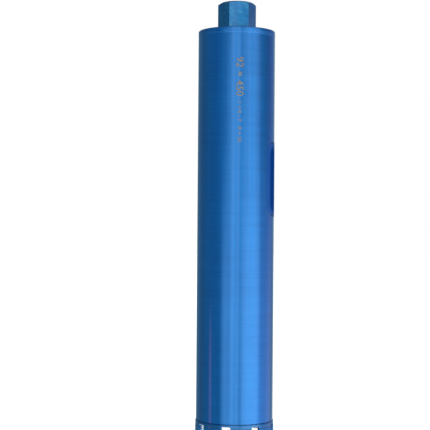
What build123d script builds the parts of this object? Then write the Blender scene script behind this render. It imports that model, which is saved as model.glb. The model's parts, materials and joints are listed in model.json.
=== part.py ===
from build123d import *
import math
import os

# Wet diamond core bit with a segmented crown.
# It stands on its segments: +Z runs up the axis to the threaded hub, the front is -Y, and the origin
# is the centre of the cutting face. Lengths are in millimetres and angles in degrees.
# A turn is an angle about the axis from the front towards +X.

# Barrel
barrel_diameter = 90.0
barrel_wall = 2.0
barrel_length = 449.0
seam_edge = 0.4            # broken edges on both sides of the crown seam

# Crown ring, which carries the segments and plugs into the barrel
ring_height = 5.0          # from the segments up to the crown seam
ring_register_depth = 6.0  # length of the spigot inside the barrel
register_clearance = 0.05  # radial, for every turned spigot
register_lead = 0.5        # chamfer at the mouth end of a spigot
slot_width = 10.5          # water slots, as wide as the gaps between segments
slot_depth = 2.5           # height of a water slot inside the ring
slot_corner = 1.2
first_slot_turn = -13.2

# Segments
segment_count = 8
segment_height = 11.5
segment_corner = 0.8       # upright corners
segment_edge = 0.4         # edges round the cutting face
outer_kerf = 1.0           # how far a segment stands outside the barrel
inner_kerf = 1.5           # how far it stands inside the barrel's bore
ring_relief = 0.3          # how far the ring is set back from a segment, outside and inside

# End plate, with its rim on the barrel and a register in the barrel's bore
plate_rim = 6.0
plate_register_depth = 4.0
rim_edge = 0.6
weld_share = 0.5           # depth of the rim's weld groove, as a share of the barrel's wall

# Hub, a hexagon with a spigot through the end plate
thread_diameter = 31.75    # 1 1/4 inch
thread_pitch = 25.4 / 7    # 7 threads to the inch
thread_depth_factor = 1.0825
hub_wall = 3.625           # from the thread's major diameter to a flat
hub_height = 34.0
hub_turn = 5.0
hub_sides = 6
crown_angle = 30.0         # turned chamfer on the hexagon's top corners
crown_inset = 1.6          # from a flat in to the edge of the round top land
hub_ledge = 1.5            # seat of the hexagon's flats on the end plate
mouth_clearance = 0.5      # radial, of the lead-in round the thread
foot_lead = 1.0            # lead-in at the thread's lower end
hub_weld_leg = 3.0
spigot_lip = 1.0           # spigot below its weld bead

# Radii and heights that follow from the sizes above
barrel_radius = barrel_diameter / 2
bore_radius = barrel_radius - barrel_wall
register_radius = bore_radius - register_clearance
segment_radius = barrel_radius + outer_kerf
segment_bore_radius = bore_radius - inner_kerf
ring_radius = segment_radius - ring_relief
ring_bore_radius = segment_bore_radius + ring_relief
slot_pitch = 360 / segment_count

crown_seam = segment_height + ring_height
barrel_top = crown_seam + barrel_length
shoulder = barrel_top + plate_rim
plate_foot = barrel_top - plate_register_depth
weld_groove = weld_share * barrel_wall

hub_flats = thread_diameter + 2 * hub_wall
spigot_radius = hub_flats / 2 - hub_ledge
thread_bore_radius = (thread_diameter - thread_depth_factor * thread_pitch) / 2
mouth_radius = thread_diameter / 2 + mouth_clearance
hub_top = shoulder + hub_height
hub_foot = plate_foot - hub_weld_leg - spigot_lip


def turned(points):
    """Revolve a closed section, given as radius and height pairs, about the bit's axis."""
    with BuildPart() as body:
        with BuildSketch(Plane.XZ):
            with BuildLine():
                Polyline(*points, close=True)
            make_face()
        revolve(axis=Axis.Z)
    return body


def radial_plane(turn):
    """Upright plane through the axis that faces outwards at a turn, with its Y axis up."""
    angle = math.radians(turn)
    along = (math.cos(angle), math.sin(angle), 0)
    outwards = (math.sin(angle), -math.cos(angle), 0)
    return Plane(origin=(0, 0, 0), x_dir=along, z_dir=outwards)


def write(piece, label):
    """Label a finished piece and write its STEP file."""
    piece.part.label = label
    export_step(piece.part, f"parts/{label}.step")


def make_barrel_tube():
    """Drawn tube, chamfered for the rim weld and broken at the crown seam."""
    return turned([
        (bore_radius, crown_seam),
        (barrel_radius - seam_edge, crown_seam),
        (barrel_radius, crown_seam + seam_edge),
        (barrel_radius, barrel_top - weld_groove),
        (barrel_radius - weld_groove, barrel_top),
        (bore_radius, barrel_top),
    ])


def make_end_plate():
    """Turned plate: a rim that stands on the barrel, a register inside it and a bore for the hub."""
    plate_bore_radius = spigot_radius + register_clearance
    return turned([
        (plate_bore_radius, plate_foot),
        (register_radius - register_lead, plate_foot),
        (register_radius, plate_foot + register_lead),
        (register_radius, barrel_top),
        (barrel_radius - weld_groove, barrel_top),
        (barrel_radius, barrel_top + weld_groove),
        (barrel_radius, shoulder - rim_edge),
        (barrel_radius - rim_edge, shoulder),
        (plate_bore_radius, shoulder),
    ])


def make_rim_weld():
    """Weld that fills the groove between barrel and end plate, ground flush with both."""
    return turned([
        (barrel_radius - weld_groove, barrel_top),
        (barrel_radius, barrel_top - weld_groove),
        (barrel_radius, barrel_top + weld_groove),
    ])


def make_hub():
    """Hexagonal hub with a turned crown, a spigot below it and the thread's bore right through."""
    land_radius = hub_flats / 2 - crown_inset
    corner_radius = hub_flats / math.sqrt(3) + crown_inset
    crown_drop = (corner_radius - land_radius) * math.tan(math.radians(crown_angle))
    mouth_depth = mouth_radius - thread_bore_radius
    with BuildPart() as hub:
        with BuildSketch(Plane.XY.offset(shoulder)):
            RegularPolygon(hub_flats / 2, hub_sides, major_radius=False, rotation=hub_turn)
        extrude(amount=hub_height)
        with BuildSketch(Plane.XY.offset(shoulder)):
            Circle(spigot_radius)
        extrude(amount=hub_foot - shoulder)
        with BuildSketch(Plane.XZ):
            with BuildLine():
                Polyline(
                    (land_radius, hub_top),
                    (corner_radius, hub_top),
                    (corner_radius, hub_top - crown_drop),
                    close=True,
                )
            make_face()
        revolve(axis=Axis.Z, mode=Mode.SUBTRACT)
        with BuildSketch(Plane.XZ):
            with BuildLine():
                Polyline(
                    (0, hub_foot),
                    (thread_bore_radius + foot_lead, hub_foot),
                    (thread_bore_radius, hub_foot + foot_lead),
                    (thread_bore_radius, hub_top - mouth_depth),
                    (mouth_radius, hub_top),
                    (0, hub_top),
                    close=True,
                )
            make_face()
        revolve(axis=Axis.Z, mode=Mode.SUBTRACT)
    return hub


def make_hub_weld():
    """Fillet bead under the end plate, round the hub's spigot."""
    return turned([
        (spigot_radius, plate_foot),
        (spigot_radius + hub_weld_leg, plate_foot),
        (spigot_radius, plate_foot - hub_weld_leg),
    ])


def make_crown_ring():
    """Turned ring with its spigot in the barrel and the water slots cut up from its lower face."""
    register_top = crown_seam + ring_register_depth
    with BuildPart() as ring:
        add(turned([
            (ring_bore_radius, segment_height),
            (ring_radius, segment_height),
            (ring_radius, crown_seam - seam_edge),
            (ring_radius - seam_edge, crown_seam),
            (register_radius, crown_seam),
            (register_radius, register_top - register_lead),
            (register_radius - register_lead, register_top),
            (ring_bore_radius, register_top),
        ]).part)
        for number in range(segment_count):
            with BuildSketch(radial_plane(first_slot_turn + number * slot_pitch)):
                with Locations((0, segment_height)):
                    RectangleRounded(slot_width, 2 * slot_depth, slot_corner)
            extrude(amount=segment_radius, mode=Mode.SUBTRACT)
    return ring


def make_segment(number):
    """Curved diamond segment that fills the crown from one water slot to the next."""
    turn = first_slot_turn + (number - 0.5) * slot_pitch
    outer_half = slot_pitch / 2 - math.degrees(math.asin(slot_width / 2 / segment_radius))
    inner_half = slot_pitch / 2 - math.degrees(math.asin(slot_width / 2 / segment_bore_radius))
    with BuildPart() as segment:
        with BuildSketch(Plane.XY.rotated((0, 0, turn))):
            with BuildLine():
                outer = CenterArc((0, 0), segment_radius, -90 - outer_half, 2 * outer_half)
                inner = CenterArc((0, 0), segment_bore_radius, -90 - inner_half, 2 * inner_half)
                Line(outer @ 0, inner @ 0)
                Line(outer @ 1, inner @ 1)
            make_face()
        extrude(amount=segment_height)
        fillet(segment.edges().filter_by(Axis.Z), radius=segment_corner)
        chamfer(segment.faces().sort_by(Axis.Z)[0].edges(), length=segment_edge)
    return segment


os.makedirs("parts", exist_ok=True)
write(make_barrel_tube(), "barrel_tube")
write(make_end_plate(), "end_plate")
write(make_rim_weld(), "rim_weld")
write(make_hub(), "hub")
write(make_hub_weld(), "hub_weld")
write(make_crown_ring(), "crown_ring")
for segment_number in range(1, segment_count + 1):
    write(make_segment(segment_number), f"segment_{segment_number}")
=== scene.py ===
import json
import logging
import math
import random
from contextlib import contextmanager
from dataclasses import dataclass
from enum import Enum
from typing import Callable, Iterator, Sequence, Union

import bpy
from mathutils import Matrix, Vector


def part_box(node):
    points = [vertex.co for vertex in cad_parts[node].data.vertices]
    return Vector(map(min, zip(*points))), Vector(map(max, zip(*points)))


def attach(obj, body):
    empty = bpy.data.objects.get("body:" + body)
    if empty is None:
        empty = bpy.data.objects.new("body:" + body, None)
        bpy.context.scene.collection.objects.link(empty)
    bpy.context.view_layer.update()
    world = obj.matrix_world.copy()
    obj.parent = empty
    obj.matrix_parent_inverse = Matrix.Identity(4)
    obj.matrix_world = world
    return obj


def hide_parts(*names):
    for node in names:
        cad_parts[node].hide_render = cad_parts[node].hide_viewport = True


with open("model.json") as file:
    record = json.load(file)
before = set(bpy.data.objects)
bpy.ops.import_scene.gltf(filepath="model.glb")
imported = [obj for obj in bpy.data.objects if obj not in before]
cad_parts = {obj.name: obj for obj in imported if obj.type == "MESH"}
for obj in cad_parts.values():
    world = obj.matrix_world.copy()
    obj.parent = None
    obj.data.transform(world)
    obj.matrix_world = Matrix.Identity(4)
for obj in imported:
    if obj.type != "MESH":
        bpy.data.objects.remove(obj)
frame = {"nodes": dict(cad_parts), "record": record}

logging.basicConfig(level=logging.INFO, format="%(message)s")
log = logging.getLogger("core_bit")

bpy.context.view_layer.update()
BODY = "root"
MM = 0.001
JOIN_REACH = 0.002 * MM  # Corners closer than this are one corner.
NEAR = 0.1 * MM  # Places closer than this count as the same.
INCH = 0.0254

Piece = bpy.types.Object
Material = bpy.types.Material
Socket = bpy.types.NodeSocket
Triple = tuple[float, float, float]
Colour = Triple
Number = Union[float, "Value"]
Outline = Sequence[tuple[float, float]]


class Slot(Enum):
    """The record's material slot names, passed with the new pieces."""

    BARREL = "barrel_lacquer"
    HUB = "hub_lacquer"
    CROWN = "crown_lacquer"
    SEGMENT = "segment_matrix"
    LABEL = "label_film"
    MARK = "etched_mark"


class Boolean(Enum):
    """What a tool solid does to the piece that it meets."""

    CUT = "DIFFERENCE"
    KEEP = "INTERSECT"
    WELD = "UNION"


# -------- sizes


@dataclass(frozen=True)
class BitSizes:
    """Radii and heights of the bit in metres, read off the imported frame."""

    barrel_radius: float
    seam: float
    barrel_top: float
    plate_foot: float
    shoulder: float
    hub_top: float
    hub_foot: float
    thread_bore_radius: float
    segment_top: float
    crown_radius: float

    @classmethod
    def from_frame(cls) -> "BitSizes":
        """Measure the CAD nodes and the record's thread.

        Returns:
            The sizes that the visual pieces are built from.
        """
        barrel_low, barrel_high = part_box("barrel_tube")
        plate_low, plate_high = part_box("end_plate")
        hub_low, hub_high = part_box("hub")
        segment_boxes = [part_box(name) for name in frame["nodes"] if name.startswith("segment_")]
        thread = next(m for m in frame["record"]["mounts"] if m["name"] == "hub_thread")
        return cls(
            barrel_radius=barrel_high.x,
            seam=barrel_low.z,
            barrel_top=barrel_high.z,
            plate_foot=plate_low.z,
            shoulder=plate_high.z,
            hub_top=hub_high.z,
            hub_foot=hub_low.z,
            thread_bore_radius=thread["dims"]["r_mm"] * MM,
            segment_top=max(high.z for _, high in segment_boxes),
            crown_radius=max(high.x for _, high in segment_boxes),
        )


# -------- shader maths


def math_node(operation: str, swapped: bool = False) -> Callable[..., "Value"]:
    """Make a method of Value that adds one Math node.

    Args:
        operation: The node's operation.
        swapped: Whether the other number comes first.

    Returns:
        The method.
    """

    def method(self: "Value", *others: Number) -> "Value":
        """Add the node and fill its inputs in order.

        Args:
            others: The numbers that it takes besides this one.

        Returns:
            The node's result.
        """
        node = self.tree.nodes.new("ShaderNodeMath")
        node.operation = operation
        for index, term in enumerate((*others, self) if swapped else (self, *others)):
            if isinstance(term, Value):
                self.tree.links.new(term.socket, node.inputs[index])
            else:
                node.inputs[index].default_value = term
        return Value(self.tree, node.outputs[0])

    return method


@dataclass(frozen=True)
class Value:
    """A number on a socket, which Python's operators combine through Math nodes.

    Besides them, above takes the larger of two numbers, and angle_from the angle of the vector
    (other, self) in radians.
    """

    tree: bpy.types.NodeTree
    socket: Socket

    __add__ = __radd__ = math_node("ADD")
    __sub__ = math_node("SUBTRACT")
    __rsub__ = math_node("SUBTRACT", swapped=True)
    __mul__ = __rmul__ = math_node("MULTIPLY")
    __pow__ = math_node("POWER")
    __abs__ = math_node("ABSOLUTE")
    sine = math_node("SINE")
    above = math_node("MAXIMUM")
    angle_from = math_node("ARCTAN2")

    def rise(self, start: float, end: float) -> "Value":
        """Smooth step, which falls where end is the lower.

        Args:
            start: Where the step is 0.
            end: Where it is 1.

        Returns:
            The step.
        """
        node = self.tree.nodes.new("ShaderNodeMapRange")
        node.interpolation_type = "SMOOTHSTEP"
        self.tree.links.new(self.socket, node.inputs["Value"])
        low, high = (0.0, 1.0) if start < end else (1.0, 0.0)
        node.inputs["From Min"].default_value = min(start, end)
        node.inputs["From Max"].default_value = max(start, end)
        node.inputs["To Min"].default_value = low
        node.inputs["To Max"].default_value = high
        return Value(self.tree, node.outputs["Result"])


class Nodes:
    """A node tree under construction, with the few nodes that its surfaces share."""

    def __init__(self, tree: bpy.types.NodeTree) -> None:
        """Empty a node tree."""
        self.tree = tree
        self.tree.nodes.clear()

    def node(self, kind: str, settings: dict | None = None, links: dict | None = None) -> bpy.types.Node:
        """Add any node.

        Args:
            kind: The node's type, without its prefix.
            settings: Its properties, set first.
            links: Its inputs by name or place, each a number, a tuple, a socket or a Value.

        Returns:
            The new node.
        """
        node = self.tree.nodes.new("ShaderNode" + kind)
        for name, setting in (settings or {}).items():
            setattr(node, name, setting)
        for name, source in (links or {}).items():
            if isinstance(source, Value):
                source = source.socket
            if isinstance(source, Socket):
                self.tree.links.new(source, node.inputs[name])
            elif isinstance(source, tuple) and node.inputs[name].type == "RGBA":
                node.inputs[name].default_value = (*source, 1.0)
            else:
                node.inputs[name].default_value = source
        return node

    def split(self, vector: Socket) -> tuple[Value, Value, Value]:
        """Take a vector apart."""
        parts = self.node("SeparateXYZ", links={"Vector": vector}).outputs
        return Value(self.tree, parts[0]), Value(self.tree, parts[1]), Value(self.tree, parts[2])

    def blend(self, factor: Number, first: object, second: object) -> Socket:
        """Mix two colours or colour sockets by the second one's share."""
        return self.node("Mix", {"data_type": "RGBA"}, {0: factor, 6: first, 7: second}).outputs[2]


@dataclass(frozen=True)
class Pattern:
    """Noise about the bit: its cells a metre across and along the axis, its octaves and their strength."""

    around: float
    along: float
    detail: float = 2.0
    roughness: float = 0.5


class Finish(Nodes):
    """A material under construction."""

    def __init__(self, name: str) -> None:
        """Start an empty material that reads Object coordinates.

        Args:
            name: The material's name.
        """
        self.material = bpy.data.materials.new(name)
        self.material.use_nodes = True
        super().__init__(self.material.node_tree)
        self.place = self.node("TexCoord").outputs["Object"]
        self.x, self.y, self.z = self.split(self.place)

    def radius(self) -> Value:
        """Distance from the bit's axis, in metres."""
        return (self.x * self.x + self.y * self.y) ** 0.5

    def turn(self) -> Value:
        """Angle about the bit's axis from the front, in radians."""
        return self.x.angle_from(self.y * -1.0)

    def _noise(self, vector: Socket, detail: float, roughness: float) -> Value:
        """Noise with unit cells in a vector."""
        links = {"Vector": vector, "Scale": 1.0, "Detail": detail, "Roughness": roughness}
        return Value(self.tree, self.node("TexNoise", links=links).outputs[0])

    def noise(self, pattern: Pattern) -> Value:
        """Noise in the bit's own coordinates.

        Args:
            pattern: Its cells, octaves and strength.

        Returns:
            A number about 0.5.
        """
        scale = (pattern.around, pattern.around, pattern.along)
        cells = self.node("Mapping", links={"Vector": self.place, "Scale": scale}).outputs[0]
        return self._noise(cells, pattern.detail, pattern.roughness)

    def rings(self, pitch: float) -> Value:
        """Noise about 0.5 in rings about the axis, with their spacing in metres."""
        parts = {"X": self.radius() * (1.0 / pitch), "Y": self.turn() * 0.6}
        return self._noise(self.node("CombineXYZ", links=parts).outputs[0], 3.0, 0.6)

    def bump(self, height: Value, depth: float, strength: float = 1.0) -> Socket:
        """Normal of a relief from 0 to 1 that is so many metres deep."""
        links = {"Height": height, "Distance": depth, "Strength": strength}
        return self.node("Bump", links=links).outputs[0]

    def close(self, **surface: object) -> Material:
        """Finish with a Principled shader.

        Args:
            surface: Its inputs, with underscores for spaces.

        Returns:
            The finished material.
        """
        links = {name.replace("_", " "): source for name, source in surface.items()}
        shader = self.node("BsdfPrincipled", links=links)
        output = self.node("OutputMaterial")
        self.tree.links.new(shader.outputs[0], output.inputs["Surface"])
        return self.material


# -------- finishes


Mask = Callable[[Finish], Value]


def shaded(colour: Colour, share: float) -> Colour:
    """A darker colour, which keeps a share of each channel."""
    return tuple(channel * share for channel in colour)


@dataclass(frozen=True)
class Lacquer:
    """Clear blue lacquer over ground steel, with bare steel where the spray did not reach, and painted shade
    along given seam heights.
    """

    name: str
    deep: Colour = (0.007, 0.14, 0.44)
    bright: Colour = (0.018, 0.245, 0.68)
    bare: Colour = (0.5, 0.49, 0.47)
    # Colour of the painted shade along the seams, standing in for the shadow in the joint's groove.
    seam: Colour = (0.007, 0.07, 0.3)
    roughness: float = 0.34
    grain: float = 0.6
    grain_turn: float = 0.25
    coat: float = 0.85
    coat_roughness: float = 0.1
    line_pitch: float = 1.1 * MM
    line_share: float = 0.6
    line_depth: float = 0.003 * MM
    line_gloss: float = 0.14
    fine_around: float = 22.0
    wide_around: float = 9.0
    wide_pitches: float = 0.22
    wide_share: float = 0.4
    streaks: Pattern = Pattern(150.0, 2.0)
    streak_share: float = 0.8
    streak_gloss: float = 0.16
    clouds: Pattern = Pattern(30.0, 14.0, 3.0, 0.6)
    cloud_share: float = 0.4
    steel: Pattern = Pattern(60.0, 60.0, 4.0, 0.6)
    steel_shade: float = 0.6
    seam_shade_heights: tuple[float, ...] = ()
    seam_shade_width: float = 0.9 * MM
    seam_shade_share: float = 0.8
    face: float | None = None
    face_reach: tuple[float, float] = (0.1 * MM, 0.02 * MM)
    face_pitch: float = 0.7 * MM
    face_wide: float = 6.0
    rubbed: float = 0.0
    scuff: Colour = (0.045, 0.33, 0.5)
    scuffs: Pattern = Pattern(190.0, 190.0 * 1.6, 4.0, 0.62)
    scuff_reach: tuple[float, float] = (0.48, 0.72)

    def build(self, painted: Mask) -> Material:
        """Make the material.

        Args:
            painted: Gives 1 where the lacquer lies and 0 on bare steel.

        Returns:
            The finished material.
        """
        finish = Finish(self.name)
        fine = finish.noise(Pattern(self.fine_around, 1.0 / self.line_pitch, 3.0, 0.6)) - 0.5
        wide = finish.noise(Pattern(self.wide_around, self.wide_pitches / self.line_pitch)) - 0.5
        if self.face is not None:
            on_face = finish.z.rise(*(self.face - reach for reach in self.face_reach))
            fine = fine + (finish.rings(self.face_pitch) - 0.5 - fine) * on_face
            wide = wide + (finish.rings(self.face_pitch * self.face_wide) - 0.5 - wide) * on_face
        streaks, clouds = (finish.noise(pattern) - 0.5 for pattern in (self.streaks, self.clouds))
        lines = fine * self.line_share + wide * (self.line_share * self.wide_share)
        tone = (lines + streaks * self.streak_share + clouds * self.cloud_share + 0.5).rise(0.0, 1.0)
        paint = finish.blend(tone, self.deep, self.bright)
        # Painted shade: the lacquer darkens in a narrow band round each seam height.
        for height in self.seam_shade_heights:
            in_seam_shade = 1.0 - abs(finish.z - height).rise(0.0, self.seam_shade_width)
            paint = finish.blend(in_seam_shade * self.seam_shade_share, paint, self.seam)
        if self.rubbed:
            scuffs = finish.noise(self.scuffs)
            paint = finish.blend(scuffs.rise(*self.scuff_reach) * self.rubbed, paint, self.scuff)
        steel = finish.blend(finish.noise(self.steel), shaded(self.bare, self.steel_shade), self.bare)
        cover = painted(finish)
        return finish.close(
            Base_Color=finish.blend(cover, steel, paint),
            Metallic=1.0,
            Roughness=lines * self.line_gloss + streaks * self.streak_gloss + self.roughness,
            Anisotropic=self.grain,
            Anisotropic_Rotation=self.grain_turn,
            Coat_Weight=cover * self.coat,
            Coat_Roughness=self.coat_roughness,
            Normal=finish.bump(fine + 0.5, self.line_depth),
        )


@dataclass(frozen=True)
class SinteredMatrix:
    """Sintered metal that holds the diamonds, lacquered down to the cutting edge; the low inner faces are
    bare ground metal, lightened to blue-white as a painted reflection.
    """

    name: str
    metal: Colour = (0.3, 0.275, 0.24)
    shadow: Colour = (0.13, 0.12, 0.11)
    overspray: Colour = (0.03, 0.22, 0.55)
    bare_height: float = 2.6 * MM
    # Blue-white of the bare ground inner faces, lightened as a painted reflection of the white floor.
    ground: Colour = (0.7, 0.82, 0.95)
    ground_reflection_height: float = 6.0 * MM
    ground_reflection_share: float = 0.8
    bore_radius: float = 41.5 * MM
    grains: Pattern = Pattern(2200.0, 2200.0, 3.0, 0.65)
    pores: Pattern = Pattern(900.0, 900.0)
    mist: Pattern = Pattern(420.0, 260.0, 3.0, 0.6)

    def build(self) -> Material:
        """Make the material.

        Returns:
            The finished material.
        """
        finish = Finish(self.name)
        grains, pores, mist = (finish.noise(pattern) for pattern in (self.grains, self.pores, self.mist))
        ragged = finish.z + (mist - 0.5) * self.bare_height
        paint = ragged.rise(self.bare_height * 0.5, self.bare_height * 1.3)
        inside = finish.radius().rise(self.bore_radius + 0.8 * MM, self.bore_radius + 0.4 * MM)
        inside = inside * finish.z.rise(self.ground_reflection_height + 0.5 * MM, self.ground_reflection_height - 0.5 * MM)
        paint = paint * (1.0 - inside)
        metal = finish.blend(grains.rise(0.3, 0.7), self.shadow, self.metal)
        # The bare low inner faces are lightened to blue-white: ground metal with a painted reflection of the
        # white floor.
        metal = finish.blend(inside * self.ground_reflection_share, metal, self.ground)
        return finish.close(
            Base_Color=finish.blend(paint * 0.95, metal, self.overspray),
            Metallic=0.9,
            Roughness=(grains - 0.5) * 0.2 - paint * 0.12 - inside * 0.2 + 0.5,
            Coat_Weight=paint * 0.5,
            Coat_Roughness=0.15,
            Normal=finish.bump(grains * 0.5 + pores.rise(0.35, 0.5) * 0.5, 0.08 * MM, 0.6),
        )


@dataclass(frozen=True)
class DiamondGrit:
    """Synthetic diamond crystals, yellow-green and glassy."""

    name: str
    colour: Colour = (0.62, 0.6, 0.2)
    tint: Pattern = Pattern(700.0, 700.0, 1.0)
    refraction: float = 2.4

    def build(self) -> Material:
        """Make the material.

        Returns:
            The finished material.
        """
        finish = Finish(self.name)
        colour = finish.blend(finish.noise(self.tint), shaded(self.colour, 0.55), self.colour)
        return finish.close(Base_Color=colour, Roughness=0.12, IOR=self.refraction)


@dataclass(frozen=True)
class WeldMetal:
    """Bare weld bead with its ripples and a straw to blue heat tint."""

    name: str
    metal: Colour = (0.4, 0.385, 0.36)
    tint: Colour = (0.16, 0.13, 0.2)
    ripples: float = 46.0
    ripple_drift: float = 5.0
    clouds: Pattern = Pattern(180.0, 180.0, 3.0, 0.6)

    def build(self) -> Material:
        """Make the material.

        Returns:
            The finished material.
        """
        finish = Finish(self.name)
        cloud = finish.noise(self.clouds)
        wave = (finish.turn() * self.ripples + (cloud - 0.5) * self.ripple_drift).sine() * 0.5 + 0.5
        return finish.close(
            Base_Color=finish.blend(cloud.rise(0.35, 0.7), self.metal, self.tint),
            Metallic=1.0,
            Roughness=(cloud - 0.5) * 0.3 + 0.38,
            Normal=finish.bump(wave, 0.25 * MM, 0.8),
        )


@dataclass(frozen=True)
class LabelFilm:
    """Plain dark blue label film with a border line, darker near its edge at the top and bottom ends, as wide
    as the label's own outline.
    """

    name: str
    half_width: float
    half_height: float
    corner: float
    centre_height: float
    centre_turn: float
    radius: float
    tint: Colour = (0.014, 0.215, 0.62)
    ground: Colour = (0.009, 0.12, 0.37)
    line: Colour = (0.012, 0.16, 0.46)
    edge: Colour = (0.001, 0.02, 0.12)
    fade: float = 10.0 * MM
    edge_width: float = 4.2 * MM
    line_inset: float = 6.0 * MM
    line_width: float = 0.8 * MM
    lines: Pattern = Pattern(20.0, 900.0)

    def build(self) -> Material:
        """Make the material.

        Returns:
            The finished material, drawn in the label's own unrolled plane.
        """
        finish = Finish(self.name)
        across, up = math.sin(self.centre_turn), -math.cos(self.centre_turn)
        ahead = finish.x * across + finish.y * up
        aside = finish.x * -up + finish.y * across
        wide = abs(aside.angle_from(ahead) * self.radius) - (self.half_width - self.corner)
        tall = abs(finish.z - self.centre_height) - (self.half_height - self.corner)
        wide, tall = wide.above(0.0), tall.above(0.0)
        inset = (wide * wide + tall * tall) ** 0.5 * -1.0 + self.corner
        half_line = self.line_width / 2
        on_line = 1.0 - abs(inset - self.line_inset).rise(half_line * 0.8, half_line * 1.2)
        ends = abs(finish.z - self.centre_height).rise(self.half_height * 0.9, self.half_height * 0.98)
        # Darker near the edge at the label's top and bottom ends.
        at_edge = inset.rise(self.edge_width, self.edge_width * 0.6) * ends
        lines = finish.noise(self.lines)
        ground = finish.blend(lines * 0.6, self.ground, shaded(self.ground, 0.75))
        inner = inset.rise(0.0, self.fade)
        ground = finish.blend(inner, self.tint, ground)
        return finish.close(
            Base_Color=finish.blend(at_edge, finish.blend(on_line, ground, self.line), self.edge),
            Metallic=1.0,
            Roughness=(lines - 0.5) * 0.1 + 0.34,
            Anisotropic=0.6,
            Anisotropic_Rotation=0.25,
            Specular_Tint=(0.2, 0.5, 1.0),
            Coat_Weight=0.8 - inner * 0.75,
            Coat_Roughness=0.1,
        )


@dataclass(frozen=True)
class Etching:
    """Laser etched mark: the lacquer burnt to a dull tan."""

    name: str
    burnt: Colour = (0.52, 0.38, 0.24)
    thin: Colour = (0.3, 0.36, 0.4)
    wear: Pattern = Pattern(800.0, 800.0, 3.0, 0.6)

    def build(self) -> Material:
        """Make the material.

        Returns:
            The finished material.
        """
        finish = Finish(self.name)
        colour = finish.blend(finish.noise(self.wear).rise(0.3, 0.75), self.burnt, self.thin)
        return finish.close(Base_Color=colour, Metallic=0.35, Roughness=0.55)


# -------- modelling


def deselect() -> None:
    """Deselect every object."""
    bpy.ops.object.select_all(action="DESELECT")


def pick(piece: Piece) -> None:
    """Make a piece the only selected and the active one.

    Args:
        piece: The piece.
    """
    deselect()
    piece.select_set(True)
    bpy.context.view_layer.objects.active = piece


def named(name: str) -> Piece:
    """Name the active piece and its mesh.

    Args:
        name: The new name.

    Returns:
        The piece.
    """
    piece = bpy.context.active_object
    piece.name = name
    piece.data.name = name
    return piece


def added(name: str, shape: str, **settings: object) -> Piece:
    """Add a primitive with nothing else selected.

    Args:
        name: The new piece's name.
        shape: The kind of primitive.
        settings: Its sizes and place.

    Returns:
        The piece.
    """
    deselect()
    getattr(bpy.ops.mesh, f"primitive_{shape}_add")(**settings)
    return named(name)


def delete(piece: Piece) -> None:
    """Throw a piece away."""
    pick(piece)
    bpy.ops.object.delete()


def settle(piece: Piece, **state: object) -> None:
    """Put a piece's place, turn and scale into its mesh.

    Args:
        piece: The piece to change.
        state: The place, turn or scale that it is given first.
    """
    for name, setting in state.items():
        setattr(piece, name, setting)
    pick(piece)
    bpy.ops.object.transform_apply(location=True, rotation=True, scale=True)


@contextmanager
def editing(kind: str = "", action: str = "SELECT") -> Iterator[None]:
    """Work in the edit mode of the active piece.

    Args:
        kind: Kind of mesh element to select by, or empty for the one in use.
        action: What is done to the whole selection first, or empty for nothing.

    Returns:
        The time spent in edit mode.
    """
    bpy.ops.object.mode_set(mode="EDIT")
    if kind:
        bpy.ops.mesh.select_mode(type=kind)
    if action:
        bpy.ops.mesh.select_all(action=action)
    yield
    bpy.ops.object.mode_set(mode="OBJECT")


def select_none() -> None:
    """Clear the selection in the active piece's mesh."""
    with editing(action="DESELECT"):
        pass


def modify(piece: Piece, kind: str, **settings: object) -> None:
    """Add a modifier and apply it.

    Args:
        piece: The piece to change.
        kind: The modifier's type.
        settings: Its properties.
    """
    pick(piece)
    modifier = piece.modifiers.new(kind.lower(), kind)
    for name, setting in settings.items():
        setattr(modifier, name, setting)
    bpy.ops.object.modifier_apply(modifier=modifier.name)


def combine(piece: Piece, tool: Piece, how: Boolean) -> None:
    """Cut, keep or weld a piece with a tool solid, and throw the tool away."""
    modify(piece, "BOOLEAN", object=tool, operation=how.value, solver="EXACT")
    delete(tool)


def round_edges(piece: Piece, width: float, segments: int = 2, angle: float = 28.0) -> None:
    """Bevel every edge sharper than an angle in degrees, with so many faces across the bevel."""
    limit = {"limit_method": "ANGLE", "angle_limit": math.radians(angle)}
    modify(piece, "BEVEL", width=width, segments=segments, **limit, use_clamp_overlap=True)


def smooth(piece: Piece, angle: float = 30.0) -> None:
    """Shade a piece smooth across edges flatter than an angle in degrees."""
    pick(piece)
    bpy.ops.object.shade_smooth_by_angle(angle=math.radians(angle))


def drawn(name: str, outline: Outline) -> Piece:
    """Draw a closed outline in the XZ plane, corner by corner.

    Args:
        name: The piece's name.
        outline: X and Z of the corners.

    Returns:
        The outline, without a face.
    """
    piece = added(name, "plane", size=MM, location=(outline[0][0], 0, outline[0][1]))
    settle(piece)
    with editing("VERT"):
        bpy.ops.mesh.merge(type="CENTER")
        for before, after in zip(outline, [*outline[1:], outline[0]]):
            step = (after[0] - before[0], 0.0, after[1] - before[1])
            bpy.ops.mesh.extrude_region_move(TRANSFORM_OT_translate={"value": step})
        bpy.ops.mesh.select_all(action="SELECT")
        bpy.ops.mesh.remove_doubles(threshold=JOIN_REACH)
    return piece


def turned(name: str, outline: Outline, steps: int = 192) -> Piece:
    """Spin a closed section about the axis.

    Args:
        name: The piece's name.
        outline: Radius and height pairs round the section.
        steps: Faces round the axis.

    Returns:
        The turned solid.
    """
    piece = drawn(name, outline)
    with editing():
        bpy.ops.mesh.spin(steps=steps, angle=math.tau, center=(0, 0, 0), axis=(0, 0, 1))
        bpy.ops.mesh.select_all(action="SELECT")
        bpy.ops.mesh.remove_doubles(threshold=JOIN_REACH)
        bpy.ops.mesh.normals_make_consistent(inside=False)
    return piece


def span(piece: Piece, axis: int) -> tuple[float, float]:
    """Where a piece's own box starts along one of its axes, and how long it is there."""
    reach = [corner[axis] for corner in piece.bound_box]
    return min(reach), max(reach) - min(reach)


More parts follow.
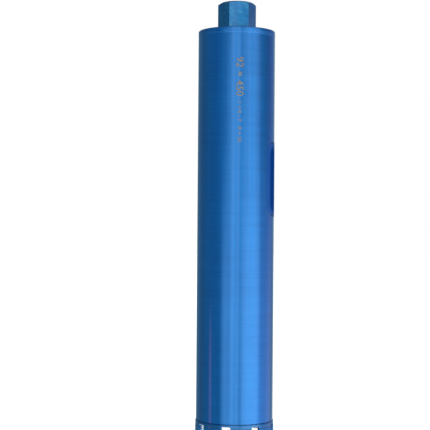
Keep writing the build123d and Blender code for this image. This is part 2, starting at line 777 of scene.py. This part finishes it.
def slice_across(piece: Piece, step: float) -> None:
    """Cut a flat piece into strips, so that it can bend about an upright axis.

    Args:
        piece: A piece that lies in the XZ plane.
        step: The strips' width, in metres.
    """
    pick(piece)
    left, width = span(piece, 0)
    count = math.ceil(width / step)
    with editing(action=""):
        for number in range(1, count):
            place = left + width * number / count
            bpy.ops.mesh.select_all(action="SELECT")
            bpy.ops.mesh.bisect(plane_co=(place, 0, 0), plane_no=(1, 0, 0))


def wrap(piece: Piece, radius: float, turn: float) -> None:
    """Bend a flat piece round the barrel.

    Args:
        piece: A piece in the XZ plane that faces -Y.
        radius: Radius that the plane takes.
        turn: Angle of its middle from the front, in radians.
    """
    modify(piece, "SIMPLE_DEFORM", deform_method="BEND", deform_axis="Z", angle=span(piece, 0)[1] / radius)
    place = (radius * math.sin(turn), -radius * math.cos(turn), 0)
    settle(piece, location=place, rotation_euler=(0, 0, turn))


def dress(piece: Piece, material: Material) -> None:
    """Give a piece one material."""
    piece.data.materials.clear()
    piece.data.materials.append(material)


def hand_over(piece: Piece, material: Material, slot: Slot, *nodes: str) -> None:
    """Dress a new piece, ride it on the bit and hide the CAD nodes that it replaces.

    Args:
        piece: The finished piece.
        material: Its only material.
        slot: The material slot that it takes its finish from; not used.
        nodes: The CAD nodes that it replaces.
    """
    dress(piece, material)
    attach(piece, BODY)
    if nodes:
        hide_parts(*nodes)
    log.info("piece %s: %d faces", piece.name, len(piece.data.polygons))


# -------- the bit's pieces


@dataclass
class Barrel:
    """Barrel tube, end plate and the ground weld between them."""

    sizes: BitSizes
    wall: float = 2.0 * MM
    foot_edge: float = 0.4 * MM
    groove: float = 1.0 * MM
    rim_edge: float = 0.6 * MM
    register_clearance: float = 0.05 * MM
    register_lead: float = 0.5 * MM
    plate_bore_radius: float = 18.05 * MM
    weld_crown: float = 0.04 * MM
    weld_flat: float = 0.45
    edge: float = 0.12 * MM
    paint_depth: float = 0.9 * MM

    def build(self) -> None:
        """Model the three pieces and the look of the hub's weld under the plate."""
        # The barrel's lacquer has painted shade along its seam with the crown ring.
        self._finish(self._tube(), "barrel_tube", Lacquer("barrel_lacquer", seam_shade_heights=(self.sizes.seam,)))
        shoulder = self.sizes.shoulder
        plate = Lacquer("plate_lacquer", bright=(0.018, 0.225, 0.63), line_depth=0.006 * MM, face=shoulder)
        self._finish(self._plate(), "end_plate", plate)
        # The ground weld's lacquer is lighter than the barrel's: a painted highlight along the weld line.
        weld = Lacquer(
            "rim_weld_highlight_lacquer", deep=(0.016, 0.195, 0.54), bright=(0.036, 0.29, 0.76), roughness=0.41,
            line_pitch=0.5 * MM,
        )
        self._finish(self._rim_weld(), "rim_weld", weld)
        dress(frame["nodes"]["hub_weld"], WeldMetal("bare_weld").build())

    def _finish(self, piece: Piece, node: str, lacquer: Lacquer) -> None:
        """Round a turned piece's edges, lacquer its outside and hand it over.

        Args:
            piece: The turned piece.
            node: The CAD node that it replaces.
            lacquer: Its finish.
        """
        round_edges(piece, self.edge, 2, 20.0)
        smooth(piece, 24.0)
        hand_over(piece, lacquer.build(self._paint), Slot.BARREL, node)

    def _paint(self, finish: Finish) -> Value:
        """Lacquer on the outer faces and on the plate's top.

        Args:
            finish: The material under construction.

        Returns:
            1 where the lacquer lies.
        """
        reach = self.sizes.barrel_radius - self.paint_depth
        outside = finish.radius().rise(reach - 0.2 * MM, reach + 0.2 * MM)
        top = self.sizes.shoulder - self.paint_depth
        return outside.above(finish.z.rise(top, top + 0.3 * MM))

    def _tube(self) -> Piece:
        """Tube with a broken edge at the crown and half of the weld groove at its top.

        Returns:
            The barrel.
        """
        outer, foot, top = self.sizes.barrel_radius, self.sizes.seam, self.sizes.barrel_top
        bore = outer - self.wall
        side = [(outer, foot + self.foot_edge), (outer, top - self.groove), (outer - self.groove, top)]
        return turned("barrel", [(bore, foot), (outer - self.foot_edge, foot), *side, (bore, top)])

    def _plate(self) -> Piece:
        """Plate with a register in the barrel's bore, the other half groove and a broken rim.

        Returns:
            The plate.
        """
        outer, top, joint = self.sizes.barrel_radius, self.sizes.shoulder, self.sizes.barrel_top
        register, foot = outer - self.wall - self.register_clearance, self.sizes.plate_foot
        lead = self.register_lead
        plug = [(register - lead, foot), (register, foot + lead), (register, joint)]
        groove = [(outer - self.groove, joint), (outer, joint + self.groove)]
        rim = [(outer, top - self.rim_edge), (outer - self.rim_edge, top)]
        bore = self.plate_bore_radius
        return turned("end_cap", [(bore, foot), *plug, *groove, *rim, (bore, top)])

    def _rim_weld(self) -> Piece:
        """Weld that fills the groove, ground to a hair's breadth over flush.

        Returns:
            The weld.
        """
        outer, joint, reach = self.sizes.barrel_radius, self.sizes.barrel_top, self.groove
        flat, crown = reach * self.weld_flat, outer + self.weld_crown
        bead = [(outer, joint - reach), (crown, joint - flat), (crown, joint + flat), (outer, joint + reach)]
        return turned("ground_weld", [(outer - reach, joint), *bead])


@dataclass
class Hub:
    """Hexagonal hub with its turned crown, spigot and female thread."""

    sizes: BitSizes
    flats: float = 39.0 * MM
    turn: float = math.radians(5.0)
    land_inset: float = 1.6 * MM
    crown_angle: float = math.radians(30.0)
    ledge: float = 1.5 * MM
    thread_diameter: float = 1.25 * INCH
    thread_pitch: float = INCH / 7
    mouth_clearance: float = 0.5 * MM
    foot_lead: float = 1.0 * MM
    edge_round: float = 0.35 * MM
    root_clearance: float = 0.02 * MM
    overlap: float = 0.25 * MM
    beyond: float = 1.0 * MM
    trim: float = 0.3 * MM
    steps: int = 96

    def build(self) -> None:
        """Model the hub."""
        hub = self._hexagon()
        combine(hub, self._crown(), Boolean.KEEP)
        combine(hub, self._spigot(), Boolean.WELD)
        combine(hub, self._bore(), Boolean.CUT)
        thread = self._thread()
        deselect()
        thread.select_set(True)
        hub.select_set(True)
        bpy.context.view_layer.objects.active = hub
        bpy.ops.object.join()
        smooth(hub, 26.0)
        hand_over(hub, self._lacquer(), Slot.HUB, "hub")

    def _hexagon(self) -> Piece:
        """Hexagon bar with rounded upright edges.

        Returns:
            The bar.
        """
        height = self.sizes.hub_top - self.sizes.shoulder
        turn = math.radians(30.0) + self.turn
        bar = added(
            "threaded_hub", "cylinder", vertices=6, radius=self.flats / math.sqrt(3), depth=height,
            location=(0, 0, self.sizes.shoulder + height / 2), rotation=(0, 0, turn),
        )
        settle(bar)
        round_edges(bar, self.edge_round, 3, 50.0)
        return bar

    def _crown(self) -> Piece:
        """Turned solid that the hexagon is kept inside, for the chamfer of its top corners.

        Returns:
            The tool solid.
        """
        land = self.flats / 2 - self.land_inset
        reach = self.flats / math.sqrt(3) + self.land_inset
        drop = (reach - land) * math.tan(self.crown_angle)
        foot, top = self.sizes.shoulder, self.sizes.hub_top
        return turned("crown_tool", [(0, foot), (reach, foot), (reach, top - drop), (land, top), (0, top)])

    def _spigot(self) -> Piece:
        """Round spigot through the end plate.

        Returns:
            The tool solid.
        """
        radius = self.flats / 2 - self.ledge
        foot, top = self.sizes.hub_foot, self.sizes.shoulder + self.beyond
        return turned("spigot_tool", [(0, foot), (radius, foot), (radius, top), (0, top)], self.steps)

    def _bore(self) -> Piece:
        """Bore at the thread's major diameter, with its lead-in and foot chamfers.

        Returns:
            The tool solid.
        """
        root = self.thread_diameter / 2 + self.root_clearance
        mouth = self.thread_diameter / 2 + self.mouth_clearance
        foot_mouth = self.sizes.thread_bore_radius + self.foot_lead
        top, foot = self.sizes.hub_top, self.sizes.hub_foot
        low, high = foot - self.beyond, top + self.beyond
        side = [(max(foot_mouth, root), low), (root, foot + NEAR), (root, top - (mouth - root)), (mouth, top)]
        return turned("bore_tool", [(0, low), *side, (mouth, high), (0, high)], self.steps)

    def _thread(self) -> Piece:
        """Helical ridge of the female thread, trimmed by the lead-in at the mouth and the foot.

        Returns:
            The ridge.
        """
        pitch = self.thread_pitch
        crest, root = self.sizes.thread_bore_radius, self.thread_diameter / 2 + self.overlap
        foot, top = self.sizes.hub_foot, self.sizes.hub_top
        half_crest, half_root = pitch / 8, pitch * 7 / 16
        section = [(root, -half_root), (crest, -half_crest), (crest, half_crest), (root, half_root)]
        turns = math.ceil((top - foot) / pitch) + 2
        ridge = drawn("thread_ridge", [(radius, foot - pitch + rise) for radius, rise in section])
        modify(
            ridge, "SCREW", axis="Z", angle=math.tau, screw_offset=pitch, iterations=turns, steps=self.steps,
            render_steps=self.steps, use_merge_vertices=False, use_smooth_shade=False,
        )
        with editing():
            bpy.ops.mesh.fill_holes(sides=4)
            bpy.ops.mesh.select_all(action="SELECT")
            bpy.ops.mesh.normals_make_consistent(inside=False)
        mouth = self.thread_diameter / 2 + self.mouth_clearance
        low, high, inner, outer = foot + self.trim, top - self.trim, crest - self.beyond, root + self.beyond
        slope = [(mouth - self.trim, high), (inner, top - mouth + inner)]
        room = [(inner, low), (outer, low), (outer, high), *slope]
        combine(ridge, turned("room_tool", room, self.steps), Boolean.KEEP)
        return ridge

    def _lacquer(self) -> Material:
        """Lacquer on the hexagon, bare steel in the thread and on the spigot.

        Returns:
            The finished material.
        """
        sizes = self.sizes
        mouth = self.thread_diameter / 2 + self.mouth_clearance

        def paint(finish: Finish) -> Value:
            """Lacquer outside the mouth and above the plate."""
            outside = finish.radius().rise(mouth - 1.2 * MM, mouth + 0.1 * MM)
            return outside * finish.z.rise(sizes.plate_foot, sizes.plate_foot + 1.0 * MM)

        lacquer = Lacquer(
            "hub_lacquer", deep=(0.004, 0.115, 0.35), bright=(0.012, 0.225, 0.51), roughness=0.38,
            grain=0.0, line_pitch=2.2 * MM, line_share=0.5, rubbed=0.75,
        )
        return lacquer.build(paint)


@dataclass
class Crown:
    """Slotted crown ring and the diamond segments on it."""

    sizes: BitSizes
    count: int = 8
    first_turn: float = math.radians(9.3)
    slot_width: float = 10.5 * MM
    slot_depth: float = 2.5 * MM
    slot_corner: float = 1.2 * MM
    slot_reach: float = 2.2
    ring_relief: float = 0.3 * MM
    ring_edge: float = 0.18 * MM
    register_radius: float = 42.95 * MM
    register_lead: float = 0.5 * MM
    ring_steps: int = 160
    thickness: float = 4.5 * MM
    inset: float = 0.12 * MM
    edge: float = 0.5 * MM
    strips: int = 14
    crystals: int = 150
    crystal_radius: tuple[float, float] = (0.16 * MM, 0.3 * MM)
    crystal_side: float = 1.34
    crystal_cut: float = 0.33
    sunk: tuple[float, float] = (1.02, 1.15)
    sunk_below: tuple[float, float] = (1.02, 1.1)
    grit_margin: float = 0.7 * MM
    grit_drop: float = 3.0 * MM
    grit_spread: float = 0.94
    seed: int = 7

    def build(self) -> None:
        """Model the ring, then one segment and its grit, and copy both round the crown."""
        hand_over(self._ring(), self._ring_lacquer(), Slot.CROWN, "crown_ring")
        bore = self.sizes.crown_radius - self.thickness
        matrix = SinteredMatrix("segment_matrix", bore_radius=bore).build()
        diamond = DiamondGrit("diamond_grit").build()
        segment, grit = self._segment(), self._grit()
        pitch = math.tau / self.count
        for number in range(1, self.count + 1):
            turn = self.first_turn + (number - 1) * pitch
            block = self._copy(segment, f"diamond_segment_{number}", turn)
            hand_over(block, matrix, Slot.SEGMENT, f"segment_{number}")
            stones = self._copy(grit, f"diamond_grit_{number}", turn)
            hand_over(stones, diamond, Slot.SEGMENT)
        delete(segment)
        delete(grit)

    def _ring(self) -> Piece:
        """Turned ring with a register in the barrel and rounded water slots in its foot.

        Returns:
            The ring.
        """
        outer = self.sizes.crown_radius - self.ring_relief
        bore = self.sizes.crown_radius - self.thickness + self.ring_relief
        foot, seam, top = self.sizes.segment_top, self.sizes.seam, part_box("crown_ring")[1].z
        register, lead = self.register_radius, self.register_lead
        plug = [(register, seam), (register, top - lead), (register - lead, top)]
        outline = [(bore, foot), (outer, foot), (outer, seam), *plug, (bore, top)]
        ring = turned("slotted_ring", outline, self.ring_steps)
        turn = self.first_turn + math.pi / self.count + math.pi / self.ring_steps
        settle(ring, rotation_euler=(0, 0, turn))
        for number in range(self.count // 2):
            turn = self.first_turn + (number - 0.5) * math.tau / self.count
            combine(ring, self._slot_cutter(turn), Boolean.CUT)
        round_edges(ring, self.ring_edge, 2, 40.0)
        smooth(ring, 35.0)
        return ring

    def _slot_cutter(self, turn: float) -> Piece:
        """Bar that cuts two facing water slots.

        Args:
            turn: Angle of the bar from the front, in radians.

        Returns:
            The tool solid.
        """
        low, high = self.sizes.segment_top - self.slot_depth, self.sizes.segment_top + self.slot_depth
        bar = added("slot_tool", "cube", size=1.0, location=(0, 0, (low + high) / 2))
        settle(bar, scale=(self.slot_width, self.slot_reach * self.sizes.crown_radius, high - low))
        select_none()
        for edge in bar.data.edges:
            first, last = (bar.data.vertices[index].co for index in edge.vertices)
            edge.select = min(first.z, last.z) > high - NEAR and abs(first.x - last.x) < NEAR
        with editing("EDGE", action=""):
            bpy.ops.mesh.bevel(offset=self.slot_corner, segments=5)
        settle(bar, rotation_euler=(0, 0, turn))
        return bar

    def _ring_lacquer(self) -> Material:
        """Lacquer outside and in the water slots, which thins out in the bore, with painted shade along its
        seams with the barrel and the segments.

        Returns:
            The finished material.
        """
        inside = self.sizes.crown_radius - self.thickness

        def paint(finish: Finish) -> Value:
            """Lacquer that thins out towards the bore."""
            return finish.radius().rise(inside + 0.2 * MM, inside + 2.2 * MM)

        # Painted shade runs along the seam with the barrel and along the one with the segments.
        lacquer = Lacquer(
            "crown_lacquer", deep=(0.02, 0.15, 0.38), bright=(0.035, 0.22, 0.52), roughness=0.4,
            seam_shade_heights=(self.sizes.seam, self.sizes.segment_top), seam_shade_width=0.7 * MM,
        )
        return lacquer.build(paint)

    @staticmethod
    def _copy(pattern: Piece, name: str, turn: float) -> Piece:
        """Copy a pattern round the axis.

        Args:
            pattern: The piece that faces the front.
            name: The copy's name.
            turn: Its angle from the front, in radians.

        Returns:
            The copy, with its own mesh.
        """
        pick(pattern)
        bpy.ops.object.duplicate(linked=False)
        copy = named(name)
        settle(copy, rotation_euler=(0, 0, turn))
        return copy

    def _reach(self) -> tuple[float, float]:
        """Outer and inner radius of the sintered block, set in a little from the grit's tips."""
        outer = self.sizes.crown_radius - self.inset
        return outer, self.sizes.crown_radius - self.thickness + self.inset

    def _half_turn(self, radius: float) -> float:
        """Angle from a segment's middle to its end wall at a radius, in radians."""
        return math.pi / self.count - math.asin(self.slot_width / 2 / radius)

    def _segment(self) -> Piece:
        """Curved block at the front, bent from a straight one.

        Returns:
            The block.
        """
        outer, inner = self._reach()
        middle = (outer + inner) / 2
        low, high = self.inset, self.sizes.segment_top
        block = added("segment_pattern", "cube", size=1.0, location=(0, 0, (low + high) / 2))
        width = 2 * self._half_turn(inner) * middle
        settle(block, scale=(width, outer - inner, high - low))
        select_none()
        for face in block.data.polygons:
            face.select = face.normal.y < -0.5
        with editing(action=""):
            bpy.ops.transform.resize(value=(self._half_turn(outer) / self._half_turn(inner), 1, 1))
        round_edges(block, self.edge, 3, 40.0)
        slice_across(block, width / self.strips)
        wrap(block, middle, 0.0)
        smooth(block, 35.0)
        return block

    def _grit(self) -> Piece:
        """Crystals that stand out of the front segment's outer, inner, end and cutting faces.

        Returns:
            All of them in one mesh.
        """
        dice = random.Random(self.seed)
        outer, inner = self._reach()
        low, high = self.inset, self.sizes.segment_top
        grit = added("grit_pattern", "plane", size=MM)
        with editing("VERT"):
            bpy.ops.mesh.delete(type="VERT")
            for _ in range(self.crystals):
                size = dice.uniform(*self.crystal_radius)
                side = dice.choice(("outer", "outer", "inner", "inner", "cutting", "cutting", "end"))
                height = dice.uniform(low + self.grit_margin, high - self.grit_drop)
                radius = dice.uniform(inner + self.grit_margin, outer - self.grit_margin)
                if side == "outer":
                    radius = outer + self.inset - size * dice.uniform(*self.sunk)
                elif side == "inner":
                    radius = inner - self.inset + size * dice.uniform(*self.sunk)
                elif side == "cutting":
                    height = size * dice.uniform(*self.sunk_below)
                half = self._half_turn(radius)
                turn = dice.uniform(-half, half) * self.grit_spread
                if side == "end":
                    turn = math.copysign(half, turn)
                place = (radius * math.sin(turn), -radius * math.cos(turn), height)
                self._crystal(size, place, tuple(dice.uniform(0, math.tau) for _ in range(3)))
        return grit

    def _crystal(self, size: float, place: Triple, tumble: Triple) -> None:
        """Add a cube with cut corners, tumbled by three turns in radians, to the mesh in hand."""
        bpy.ops.mesh.primitive_cube_add(size=size * self.crystal_side, location=place, rotation=tumble)
        bpy.ops.mesh.bevel(affect="VERTICES", offset=size * self.crystal_cut)


@dataclass
class Label:
    """Blank film label on the barrel's right-hand side."""

    sizes: BitSizes
    width: float = 87.0 * MM
    height: float = 87.0 * MM
    corner: float = 16.0 * MM
    thickness: float = 0.22 * MM
    left_turn: float = math.radians(52.5)
    below_shoulder: float = 130.0 * MM
    corner_steps: int = 10
    strip: float = 2.5 * MM
    lift: float = 0.02 * MM

    def build(self) -> None:
        """Model the label."""
        radius = self.sizes.barrel_radius + self.lift
        turn = self.left_turn + self.width / 2 / radius
        middle = self.sizes.shoulder - self.below_shoulder - self.height / 2
        label = added("blank_label", "plane", size=1.0, rotation=(math.pi / 2, 0, 0))
        settle(label, scale=(self.width, self.height, 1))
        with editing():
            bpy.ops.mesh.bevel(affect="VERTICES", offset=self.corner, segments=self.corner_steps)
        slice_across(label, self.strip)
        wrap(label, radius, turn)
        settle(label, location=(0, 0, middle))
        modify(label, "SOLIDIFY", thickness=self.thickness, offset=1.0, use_even_offset=True)
        smooth(label, 40.0)
        film = LabelFilm("label_film", self.width / 2, self.height / 2, self.corner, middle, turn, radius)
        hand_over(label, film.build(), Slot.LABEL)


@dataclass
class Marking:
    """Etched line of plain numbers that reads down the barrel."""

    sizes: BitSizes
    name: str
    words: str
    below_shoulder: float
    length: float
    cap_height: float
    turn: float = math.radians(3.8)
    weight: float = 0.012
    relief: float = 0.03 * MM
    strip: float = 1.0 * MM

    def build(self, material: Material) -> None:
        """Model the line.

        Args:
            material: The etching's finish.
        """
        deselect()
        bpy.ops.object.text_add()
        text = bpy.context.active_object
        text.data.body = self.words
        text.data.align_x = "LEFT"
        text.data.align_y = "BOTTOM_BASELINE"
        text.data.resolution_u = 4
        text.data.offset = self.weight
        bpy.ops.object.convert(target="MESH")
        mark = named(self.name)
        (left, long), (low, tall) = span(mark, 0), span(mark, 1)
        settle(mark, location=(-left, -low - tall / 2, 0))
        scale = (self.length / long, self.cap_height / tall, 1)
        settle(mark, scale=scale, rotation_euler=(math.pi / 2, math.pi / 2, 0))
        slice_across(mark, self.strip)
        wrap(mark, self.sizes.barrel_radius + self.relief / 3, self.turn)
        settle(mark, location=(0, 0, self.sizes.shoulder - self.below_shoulder))
        modify(mark, "SOLIDIFY", thickness=self.relief, offset=1.0)
        hand_over(mark, material, Slot.MARK)


# -------- studio


@dataclass(frozen=True)
class Panel:
    """Upright strip of soft light round the bit, in degrees from the front."""

    start: float
    end: float
    soft: float
    low: float
    high: float
    tilt: float = 12.0
    colour: Colour = (1.0, 1.0, 1.0)


@dataclass
class Studio:
    """Pale floor, white backdrop and a tent of soft upright light panels."""

    floor_radius: float = 8.0
    card_radius: float = 20.0 * MM
    card_place: tuple[float, float] = (-12.0 * MM, 20.0 * MM)
    card_drop: float = 0.1 * MM
    floor_glow: float = 0.93
    floor_colour: Colour = (0.8, 0.8, 0.8)
    ambient: Colour = (0.1, 0.22, 0.28)
    underside: float = 0.8
    overhead: float = 0.25
    panel_fade: tuple[float, float] = (0.6, 0.9)
    underside_fade: tuple[float, float] = (-0.55, -0.8)
    overhead_fade: tuple[float, float] = (0.55, 0.9)
    panels: Sequence[Panel] = (
        Panel(-22.0, 6.0, 13.0, 0.92, 0.84, colour=(1.0, 1.0, 0.97)),
        Panel(-40.0, -24.0, 9.0, 0.85, 0.15, 10.0),
        Panel(17.0, 75.0, 9.0, 1.38, 0.74, colour=(1.0, 0.99, 0.97)),
        Panel(74.0, 100.0, 14.0, 0.15, 0.1, colour=(0.3, 0.9, 1.0)),
        Panel(72.0, 136.0, 12.0, 0.74, 0.03, colour=(0.68, 0.6, 0.8)),
        Panel(118.0, 142.0, 8.0, 0.0, 0.14, colour=(0.45, 0.15, 1.0)),
        Panel(-112.0, -30.0, 12.0, 0.1, 0.1, colour=(0.1, 0.9, 1.0)),
        Panel(-76.0, -30.0, 10.0, 0.02, 0.08, colour=(0.0, 0.3, 1.0)),
        Panel(-84.0, -77.0, 3.0, 1.1, -9.4, 13.5, (1.0, 0.35, 0.45)),
        Panel(-14.0, -7.0, 2.5, 0.45, 0.35),
        Panel(3.0, 11.0, 2.5, 0.8, 0.8),
        Panel(36.0, 42.0, 2.5, 0.1, 0.5),
        Panel(55.0, 61.0, 2.5, 0.2, 0.15),
        Panel(150.0, 180.0, 12.0, 0.25, 0.25),
    )

    def build(self) -> None:
        """Make the floor and the surroundings."""
        self._floor()
        self._card()
        self._surroundings()
        bpy.context.scene.view_settings.view_transform = "Standard"

    def _floor(self) -> None:
        """Pale disc, which looks white to the camera and hardly darkens under the bit."""
        floor = added("floor", "circle", vertices=128, radius=self.floor_radius, fill_type="NGON")
        finish = Finish("pale_floor")
        seen = Value(finish.tree, finish.node("LightPath").outputs["Is Camera Ray"])
        diffuse = finish.node("BsdfDiffuse", links={"Color": self.floor_colour})
        glow = finish.node("Emission", links={"Strength": seen * self.floor_glow})
        both = finish.node("AddShader", links={0: diffuse.outputs[0], 1: glow.outputs[0]})
        finish.node("OutputMaterial", links={"Surface": both.outputs[0]})
        dress(floor, finish.material)
        floor.visible_glossy = False
        floor.visible_shadow = False

    def _card(self) -> None:
        """White card on the floor inside the crown, which shows in the ground inner faces."""
        place = (*self.card_place, -self.card_drop)
        card = added("card", "circle", vertices=64, radius=self.card_radius, fill_type="NGON", location=place)
        finish = Finish("white_card")
        glow = finish.node("Emission", links={"Strength": 1.0})
        finish.node("OutputMaterial", links={"Surface": glow.outputs[0]})
        dress(card, finish.material)

    def _surroundings(self) -> None:
        """White to the camera; as light, a dim tent with brighter panels and a pale underside."""
        world = bpy.data.worlds.new("studio")
        bpy.context.scene.world = world
        world.use_nodes = True
        tent = Nodes(world.node_tree)
        x, y, z = tent.split(tent.node("TexCoord").outputs["Generated"])
        turn = x.angle_from(y * -1.0) * (180.0 / math.pi)
        light = tent.node("Mix", {"data_type": "RGBA"}, {0: 1.0, 7: self.ambient}).outputs[2]
        for panel in self.panels:
            sides = turn.rise(panel.start - panel.soft, panel.start + panel.soft)
            sides = sides * (1.0 - turn.rise(panel.end - panel.soft, panel.end + panel.soft))
            slope = math.sin(math.radians(panel.tilt))
            level = (z.rise(-slope, slope) * (panel.high - panel.low) + panel.low).above(0.0)
            settings = {"data_type": "RGBA", "blend_type": "ADD", "clamp_factor": False}
            lit = tent.node("Mix", settings, {6: light})
            lit.inputs[7].default_value = (*panel.colour, 1.0)
            tent.tree.links.new((sides * level * (1.0 - abs(z).rise(*self.panel_fade))).socket, lit.inputs[0])
            light = lit.outputs[2]
        light = tent.blend(z.rise(*self.underside_fade), light, (self.underside,) * 3)
        light = tent.blend(z.rise(*self.overhead_fade), light, (self.overhead,) * 3)
        lit = tent.node("Background", links={"Color": light})
        white = tent.node("Background", links={"Color": (1.0, 1.0, 1.0)})
        camera = tent.node("LightPath").outputs["Is Camera Ray"]
        chosen = tent.node("MixShader", links={0: camera, 1: lit.outputs[0], 2: white.outputs[0]})
        tent.node("OutputWorld", links={"Surface": chosen.outputs[0]})


@dataclass(frozen=True)
class ViewCamera:
    """Camera level with the barrel's middle, a little to the left of its axis."""

    distance: float = 1.400
    height: float = 0.2468
    aside: float = -0.02428
    pitch: float = math.radians(0.379)
    roll: float = math.radians(0.409)
    focal_pixels: float = 1189.35
    frame_pixels: float = 430.0
    sensor: float = 36.0
    far: float = 60.0

    def place(self) -> None:
        """Set the camera up."""
        deselect()
        bpy.ops.object.camera_add()
        camera = bpy.context.active_object
        camera.data.sensor_width = self.sensor
        camera.data.lens = self.focal_pixels / self.frame_pixels * self.sensor
        camera.data.clip_end = self.far
        ahead = Vector((0, math.cos(self.pitch), math.sin(self.pitch)))
        level = Vector((1, 0, 0))
        upright = Vector((0, -math.sin(self.pitch), math.cos(self.pitch)))
        right = level * math.cos(self.roll) + upright * math.sin(self.roll)
        up = upright * math.cos(self.roll) - level * math.sin(self.roll)
        turn = Matrix((right, up, -ahead)).transposed().to_4x4()
        camera.matrix_world = Matrix.Translation((self.aside, -self.distance, self.height)) @ turn
        bpy.context.scene.camera = camera


def main() -> None:
    """Dress the frame, add the visual pieces, and set the studio up."""
    sizes = BitSizes.from_frame()
    Barrel(sizes).build()
    Hub(sizes).build()
    Crown(sizes).build()
    Label(sizes).build()
    etching = Etching("etched_mark").build()
    Marking(sizes, "size_mark", "92 × 450", 35.1 * MM, 44.8 * MM, 8.8 * MM).build(etching)
    Marking(sizes, "thread_mark", "1 1/4 - 7   8 × 25", 86.5 * MM, 46.0 * MM, 4.6 * MM).build(etching)
    Studio().build()
    ViewCamera().place()


if __name__ == "__main__":
    main()
